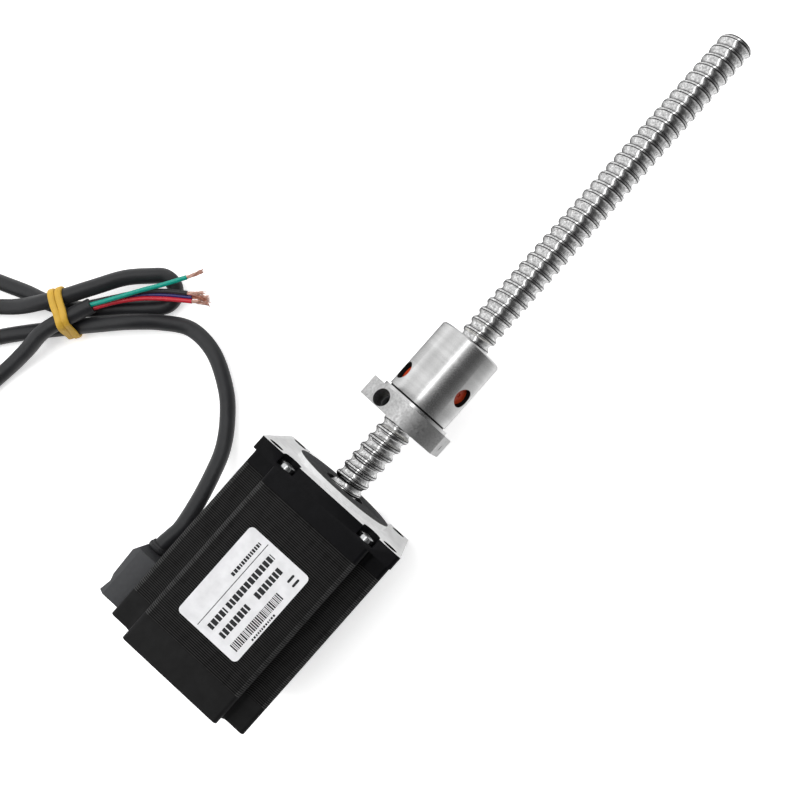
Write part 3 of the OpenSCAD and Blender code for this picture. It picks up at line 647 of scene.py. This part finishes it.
def make_screw():
    """Ball screw: a helical groove cut between two flat ends, and the plain shaft behind it."""
    profile = thread_profile()
    rows_per_lead = len(profile)
    # The thread starts two leads early and is three leads longer than the screw, and two flat cuts
    # take off what stands past its ends
    leads_before, spare_leads = 2, 3
    leads = math.ceil((SCREW_HIGH.x - THREAD_START) / LEAD) + spare_leads
    rows = leads * rows_per_lead
    points, faces = [], []
    for side in range(SCREW_SIDES):
        turned = side / SCREW_SIDES
        angle = 2 * math.pi * side / SCREW_SIDES
        for row in range(rows):
            x, r = profile[row % rows_per_lead]
            place = THREAD_PHASE + x + LEAD * (row // rows_per_lead - leads_before + turned)
            points.append((place, r * math.cos(angle), r * math.sin(angle)))
    for side in range(SCREW_SIDES):
        following = (side + 1) % SCREW_SIDES
        # After a full turn, the groove has moved on by one lead
        skip = rows_per_lead if following == 0 else 0
        for row in range(rows - 1 - rows_per_lead):
            here = side * rows + row
            beside = following * rows + row + skip
            faces.append((here, here + 1, beside + 1, beside))
    mesh = mesh_from("screw_rod", points, faces)
    # The faces of the narrow edges beside each land take the second material, a painted shade
    shaded_edge_rows = (1, rows_per_lead - 2)
    for face, corners in zip(mesh.polygons, faces):
        row_in_lead = corners[0] % rows % rows_per_lead
        face.material_index = 1 if row_in_lead in shaded_edge_rows else 0
    bm = bmesh.new()
    bm.from_mesh(mesh)
    for plane_x, direction in ((THREAD_START, -1), (SCREW_HIGH.x, 1)):
        cut = bmesh.ops.bisect_plane(
            bm,
            geom=bm.verts[:] + bm.edges[:] + bm.faces[:],
            plane_co=(plane_x, 0, 0),
            plane_no=(direction, 0, 0),
            clear_outer=True,
        )
        rim = [e for e in cut["geom_cut"] if isinstance(e, bmesh.types.BMEdge)]
        bmesh.ops.contextual_create(bm, geom=rim)
    front_seat_x, rotor_front_x, rotor_rear_x = -2.5 * MM, -14 * MM, -62 * MM
    front_seat_r, rotor_seat_r, rear_seat_r = 5 * MM, 5.5 * MM, 4 * MM
    chamfer = 0.4 * MM
    shaft = [
        (THREAD_START, SCREW_R), (front_seat_x, SCREW_R),
        (front_seat_x, front_seat_r), (rotor_front_x, front_seat_r),
        (rotor_front_x, rotor_seat_r), (rotor_rear_x, rotor_seat_r),
        (rotor_rear_x, rear_seat_r), (SCREW_LOW.x + chamfer, rear_seat_r),
        (SCREW_LOW.x, rear_seat_r - chamfer),
    ]
    add_revolved(bm, shaft, SCREW_SIDES)
    write_mesh(bm, mesh)
    mesh.materials.append(SCREW_STEEL)
    add_piece("screw_rod", mesh, THREAD_EDGE_SHADE, "rotor", ["ball_screw"])


def add_revolved(bm, profile, sides):
    """Add a solid turned about the X axis, with flat ends, from places along it and radii."""
    angles = [2 * math.pi * s / sides for s in range(sides)]
    rings = []
    for x, r in profile:
        rings.append([bm.verts.new((x, r * math.cos(angle), r * math.sin(angle))) for angle in angles])
    for low, high in zip(rings, rings[1:]):
        for s in range(sides):
            following = (s + 1) % sides
            bm.faces.new((low[s], low[following], high[following], high[s]))
    bm.faces.new(rings[0])
    bm.faces.new(list(reversed(rings[-1])))


make_screw()

# ------------------------------------------------------------------ motor body


def paint_faces(mesh, material, wanted):
    """Give a second material to the faces that a test picks, by centre and normal."""
    mesh.materials.append(material)
    index = len(mesh.materials) - 1
    for face in mesh.polygons:
        if wanted(face.center, face.normal):
            face.material_index = index


def body_outline(outset):
    """Points around the motor's section: a square with a notch in each corner."""
    notch, corner_r, fillet_r = 19.5 * MM, 1.5 * MM, 2.5 * MM
    steps = 5
    edge = HALF + outset
    side = notch + outset
    round_r = corner_r + outset
    inner_r = fillet_r - outset
    quarter = arc((edge - round_r, side - round_r), round_r, 0, 90, steps)
    quarter += arc((side + inner_r, side + inner_r), inner_r, 270, -90, steps)
    quarter += arc((side - round_r, edge - round_r), round_r, 0, 90, steps)
    outline = []
    for c, s in ((1, 0), (0, 1), (-1, 0), (0, -1)):
        outline += [(c * y - s * z, s * y + c * z) for y, z in quarter]
    return outline


def make_laminations():
    """Raised edges of the stator's sheets, a fine rib for each around the whole stack."""
    rib_height, gap_depth = 0.035 * MM, 0.01 * MM
    chance = random.Random(SEED)
    sheets = round((STATOR_HIGH.x - STATOR_LOW.x) / SHEET_PITCH)
    rings = []
    for sheet in range(sheets):
        x = STATOR_LOW.x + sheet * SHEET_PITCH
        top = rib_height * chance.uniform(0.35, 1.0)
        # Each sheet begins in the gap before it and is level from 0.3 to 0.75 of its width
        for share, height in ((0.02, -gap_depth), (0.3, top), (0.75, top)):
            rings.append([(x + share * SHEET_PITCH, y, z) for y, z in body_outline(height)])
    points = [point for ring in rings for point in ring]
    mesh = mesh_from("lamination_edges", points, grid_faces(len(rings), len(rings[0])))
    add_piece("lamination_edges", mesh, LAMINATIONS, "motor")
    # A face is on a rounded corner if no one direction holds this share of its normal
    flat = 0.995
    corner_reach = 33 * MM

    def on_corner(centre, normal):
        turned = max(abs(normal.y), abs(normal.z)) < flat * math.hypot(normal.y, normal.z)
        return turned and math.hypot(centre.y, centre.z) > corner_reach

    # Faces on the rounded corners take the lighter copy of the sheets, a painted highlight along the
    # corners
    paint_faces(mesh, LAMINATION_CORNER_HIGHLIGHT, on_corner)


make_laminations()


def make_front_bell():
    """Black bell with a bare machined mounting face and a dark disc on its boss."""
    mesh = rounded_copy("front_end_bell", "front_bell", radius=0.18 * MM)
    add_piece("front_bell", mesh, BLACK_BELL, "motor", ["front_end_bell"])
    face_x, disc_x = -0.04 * MM, BELL_HIGH.x - 0.1 * MM
    facing_front = 0.95

    def on_mounting_face(centre, _normal):
        return centre.x > face_x

    def on_disc(centre, normal):
        return centre.x > disc_x and normal.x > facing_front

    paint_faces(mesh, MACHINED, on_mounting_face)
    paint_faces(mesh, BOSS_FACE, on_disc)


make_front_bell()


def make_rear_bell():
    """Black bell at the rear, with softer edges than the front one."""
    mesh = rounded_copy("rear_end_bell", "rear_bell", radius=0.4 * MM, segments=3)
    add_piece("rear_bell", mesh, REAR_BLACK, "motor", ["rear_end_bell"])


make_rear_bell()

# ------------------------------------------------------------------ label


def flat_plate(bm, outline, bottom, thick):
    """Add a flat plate with that outline."""
    low = [bm.verts.new((x, y, bottom)) for x, y in outline]
    high = [bm.verts.new((x, y, bottom + thick)) for x, y in outline]
    bm.faces.new(high)
    bm.faces.new(list(reversed(low)))
    for k in range(len(outline)):
        following = (k + 1) % len(outline)
        bm.faces.new((low[k], low[following], high[following], high[k]))


def rounded_box(x0, x1, y0, y1, radius, steps=6):
    """Outline of a rectangle with round corners."""
    corners = ((x1, y1, 0), (x0, y1, 90), (x0, y0, 180), (x1, y0, 270))
    middle_x, middle_y = (x0 + x1) / 2, (y0 + y1) / 2
    outline = []
    for x, y, start in corners:
        cx = x - math.copysign(radius, x - middle_x)
        cy = y - math.copysign(radius, y - middle_y)
        outline += arc((cx, cy), radius, start, 90, steps)
    return outline


def make_label():
    """White film with round corners, as thick as the CAD part's label."""
    bm = bmesh.new()
    outline = rounded_box(LABEL_LOW.x, LABEL_HIGH.x, LABEL_LOW.y, LABEL_HIGH.y, radius=1.6 * MM)
    flat_plate(bm, outline, LABEL_LOW.z, LABEL_HIGH.z - LABEL_LOW.z)
    mesh = write_mesh(bm, bpy.data.meshes.new("label_film"))
    add_piece("label_film", mesh, LABEL_FILM, "motor", ["rating_label"])


def make_print():
    """Plain blocks, a rule and bars in place of the label's print: nothing on it can be read."""
    bm = bmesh.new()
    chance = random.Random(SEED)
    ink_bottom, ink_thick = LABEL_HIGH.z, 0.012 * MM

    def block(start, end, top, bottom, radius=0.12):
        """Block in millimetres from the label's rear edge and from its upper edge."""
        x0, x1 = LABEL_LOW.x + start * MM, LABEL_LOW.x + end * MM
        y0, y1 = LABEL_HIGH.y - bottom * MM, LABEL_HIGH.y - top * MM
        # The corners of a narrow block stay a little short of meeting
        radius = min(radius * MM, (x1 - x0) / 2.1, (y1 - y0) / 2.1)
        flat_plate(bm, rounded_box(x0, x1, y0, y1, radius, 3), ink_bottom, ink_thick)

    def row_of_blocks(start, end, top, bottom, narrow, wide, gap):
        """Row of blocks, each between narrow and wide, with the same gap after each."""
        place = start
        while place < end:
            width = chance.uniform(narrow, wide)
            block(place, min(place + width, end), top, bottom)
            place += width + gap

    # A thin rule, seven rows of blocks and two short bars, where the photographed label is printed.
    # Each starts with its start, end, top and bottom, and a row goes on with its narrow, wide and gap.
    block(1, 33.5, 7.6, 7.85, 0.02)
    row_of_blocks(19.2, 32.1, 5, 6.3, 0.5, 1.0, 0.3)
    row_of_blocks(2.8, 10.2, 10, 12.3, 1.1, 1.6, 0.4)
    row_of_blocks(11.2, 31.7, 10, 12.3, 1.0, 1.5, 0.4)
    row_of_blocks(3.2, 15.5, 14.4, 16.8, 1.0, 1.5, 0.4)
    row_of_blocks(19.2, 30.6, 14.4, 16.8, 1.1, 1.6, 0.4)
    row_of_blocks(8.6, 19.2, 23, 23.7, 0.4, 0.8, 0.3)
    row_of_blocks(2.9, 24.7, 19.3, 22.2, 0.12, 0.55, 0.28)
    block(28.9, 31.9, 19.4, 20.2, 0.4)
    block(28.9, 31.9, 21.4, 22.2, 0.4)
    mesh = write_mesh(bm, bpy.data.meshes.new("label_print"))
    add_piece("label_print", mesh, LABEL_INK, "motor", smooth=False)


make_label()
make_print()

# ------------------------------------------------------------------ boot and ball nut


def make_boot():
    """Soft-edged copies of the boot and of the collar that the cable leaves through."""
    mesh = rounded_copy("cable_boot", "boot_shell", radius=0.45 * MM, segments=3)
    add_piece("boot_shell", mesh, BOOT_PLASTIC, "motor", ["cable_boot"])
    mesh = rounded_copy("cable_grommet", "boot_collar", radius=0.5 * MM, segments=3)
    add_piece("boot_collar", mesh, GROMMET_PLASTIC, "motor", ["cable_grommet"])


make_boot()

# The port goes in through the flange's edge towards the axis, turned from +Z towards +Y. Its mouth is
# how far from the axis its thread starts.
PORT_R = 3 * MM
PORT_TURN = math.radians(17.5)
PORT_CENTRE = Vector((32.55 * MM, 0, 0))
PORT_OUT = Vector((0, math.sin(PORT_TURN), math.cos(PORT_TURN)))
PORT_MOUTH = 19.4 * MM
NUT_BODY_R = 12 * MM
NUT_BORE_R = 8 * MM
FLANGE_LENGTH = 7.5 * MM


def make_nut():
    """Shell of the nut, with a grey flange, and the walls in the ball returns and the port painted
    near black as painted shade.
    """
    mesh = rounded_copy("ball_nut", "nut_shell", radius=0.12 * MM)
    nut_low, nut_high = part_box("ball_nut")
    flange_end = nut_low.x + FLANGE_LENGTH
    body_end = nut_high.x - 1 * MM
    # How far past the port's radius a face of its wall may lie, and how deep a return's wall begins
    slack, skin = 0.02 * MM, 0.1 * MM
    facing_out = 0.3

    def on_flange(centre, _normal):
        return centre.x < flange_end

    def in_hole(centre, normal):
        radius = math.hypot(centre.y, centre.z)
        across = centre - PORT_CENTRE - PORT_OUT * centre.dot(PORT_OUT)
        along_port = abs(normal.dot(PORT_OUT)) <= facing_out
        on_port_wall = across.length < PORT_R + slack and along_port
        in_return = radius < NUT_BODY_R - skin and flange_end < centre.x < body_end
        return radius > NUT_BORE_R and (on_port_wall or in_return)

    add_piece("nut_shell", mesh, NUT_STEEL, "nut", ["ball_nut"])
    paint_faces(mesh, FLANGE_STEEL, on_flange)
    # The walls inside the ball returns and the port take a near-black colour: painted shade in the
    # holes
    paint_faces(mesh, HOLE_WALL_SHADE, in_hole)


def make_port_thread():
    """Fine thread that winds down the wall of the port in the nut's flange."""
    pitch, turns, sides, depth = 1 * MM, 5, 28, 0.35 * MM
    ahead = Vector((1, 0, 0))
    beside = PORT_OUT.cross(ahead)
    points = []
    for step in range(turns * sides + 1):
        angle = 2 * math.pi * step / sides
        height = PORT_MOUTH - pitch * step / sides
        toward = math.cos(angle) * ahead + math.sin(angle) * beside
        for r, rise in ((PORT_R, 0.4), (PORT_R - depth, 0), (PORT_R, -0.4)):
            points.append(PORT_CENTRE + toward * r + PORT_OUT * (height + rise * pitch))
    mesh = mesh_from("port_thread", points, grid_faces(turns * sides + 1, 3))
    add_piece("port_thread", mesh, PORT_THREAD, "nut")


make_port_thread()
make_nut()

# ------------------------------------------------------------------ CAD nodes that stay visible

CAD_LOOKS = {
    "stator_core": LAMINATIONS,
    "front_insulator": BOBBIN,
    "rear_insulator": BOBBIN,
    "phase_a_coils": WINDING,
    "phase_b_coils": WINDING,
    "terminal_board": BOARD,
    "front_outer_race": BEARING_STEEL,
    "rear_outer_race": BEARING_STEEL,
    "front_inner_race": BEARING_STEEL,
    "rear_inner_race": BEARING_STEEL,
    "front_bearing_shields": BEARING_STEEL,
    "rear_bearing_shields": BEARING_STEEL,
    "wave_washer": SPACER_STEEL,
    "tie_screws": ZINC,
    "rotor_cup_front": ROTOR_STEEL,
    "rotor_cup_rear": ROTOR_STEEL,
    "rotor_magnet": MAGNET,
    "front_spacer": SPACER_STEEL,
    "rear_spacer": SPACER_STEEL,
    "front_bearing_balls": BALL_STEEL,
    "rear_bearing_balls": BALL_STEEL,
    "nut_balls": BALL_STEEL,
    "front_ball_cage": CAGE,
    "rear_ball_cage": CAGE,
    "ball_deflectors": DEFLECTOR,
    "front_wiper": WIPER,
    "rear_wiper": WIPER,
}


def dress_cad_nodes():
    """Give each CAD node that no piece replaces its material."""
    for node, material in CAD_LOOKS.items():
        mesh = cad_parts[node].data
        mesh.materials.clear()
        mesh.materials.append(material)


dress_cad_nodes()

# ------------------------------------------------------------------ floor and light

# Degrees from straight up, positive towards +Y, and how bright the tent is there
TENT = [
    (-180, 0.04), (-158, 0.9), (-132, 0.9), (-105, 0.5), (-88, 0.4), (-60, 0.16), (-44, 0.08),
    (-20, 0.08), (-10, 0.3), (2, 0.42), (5.5, 2.4), (13, 2.4), (17, 0.65), (40, 0.95),
    (70, 0.75), (95, 1.1), (130, 0.7), (155, 0.25), (180, 0.04),
]
FLOOR_REACH = 3.0
FLOOR_GLOW = 0.52
LAMP_TARGET = Vector((40, 30, -20)) * MM


def make_floor():
    """White paper under the object, which glows a little so that it comes out white."""
    mesh = bpy.data.meshes.new("studio_floor")
    reach = FLOOR_REACH
    corners = [(-reach, -reach), (reach, -reach), (reach, reach), (-reach, reach)]
    mesh.from_pydata([(x, y, FLOOR_Z) for x, y in corners], [], [(0, 1, 2, 3)])
    look = Look("floor_paper", (0.93, 0.93, 0.93), 0.8, specular=0.1)
    look.colour(look.noise(40 * MM, 2), (0.885, 0.885, 0.885), (0.895, 0.895, 0.895))
    look.shader.inputs["Emission Color"].default_value = (1, 1, 1, 1)
    look.shader.inputs["Emission Strength"].default_value = FLOOR_GLOW
    mesh.materials.append(look.material)
    floor = bpy.data.objects.new("studio_floor", mesh)
    floor.visible_glossy = False
    scene.collection.objects.link(floor)


def make_world():
    """Tent of soft light around the screw's axis, with light and dark strips that shade the metal."""
    world = bpy.data.worlds.new("studio_tent")
    world.use_nodes = True
    scene.world = world
    nodes, links = world.node_tree.nodes, world.node_tree.links
    split = nodes.new("ShaderNodeSeparateXYZ")
    links.new(nodes.new("ShaderNodeTexCoord").outputs["Generated"], split.inputs[0])
    angle = nodes.new("ShaderNodeMath")
    angle.operation = "ARCTAN2"
    links.new(split.outputs["Y"], angle.inputs[0])
    links.new(split.outputs["Z"], angle.inputs[1])
    share = nodes.new("ShaderNodeMath")
    share.operation = "MULTIPLY_ADD"
    share.inputs[1].default_value = 1 / (2 * math.pi)
    share.inputs[2].default_value = 0.5
    links.new(angle.outputs[0], share.inputs[0])
    ramp = nodes.new("ShaderNodeValToRGB")
    elements = ramp.color_ramp.elements
    while len(elements) < len(TENT):
        elements.new(0.5)
    for element, (degrees, level) in zip(elements, TENT):
        element.position = degrees / 360 + 0.5
        element.color = (level, level, level, 1)
    links.new(share.outputs[0], ramp.inputs["Fac"])
    background = nodes["Background"]
    background.inputs["Strength"].default_value = 1.0
    links.new(ramp.outputs["Color"], background.inputs["Color"])


def add_softbox(name, place, size, power):
    """Lamp in the shape of a rectangle, which looks at the object."""
    data = bpy.data.lights.new(name, "AREA")
    data.shape = "RECTANGLE"
    data.size, data.size_y = size
    data.energy = power
    lamp = bpy.data.objects.new(name, data)
    scene.collection.objects.link(lamp)
    lamp.location = Vector(place)
    lamp.rotation_euler = (LAMP_TARGET - lamp.location).to_track_quat("-Z", "Y").to_euler()
    lamp.visible_glossy = False


make_floor()
make_world()
add_softbox("key_softbox", place=(-0.2, 0.6, 0.9), size=(0.9, 0.9), power=7)
add_softbox("fill_softbox", place=(0.8, -0.3, 0.8), size=(0.9, 0.9), power=4)

scene.view_settings.view_transform = "Standard"
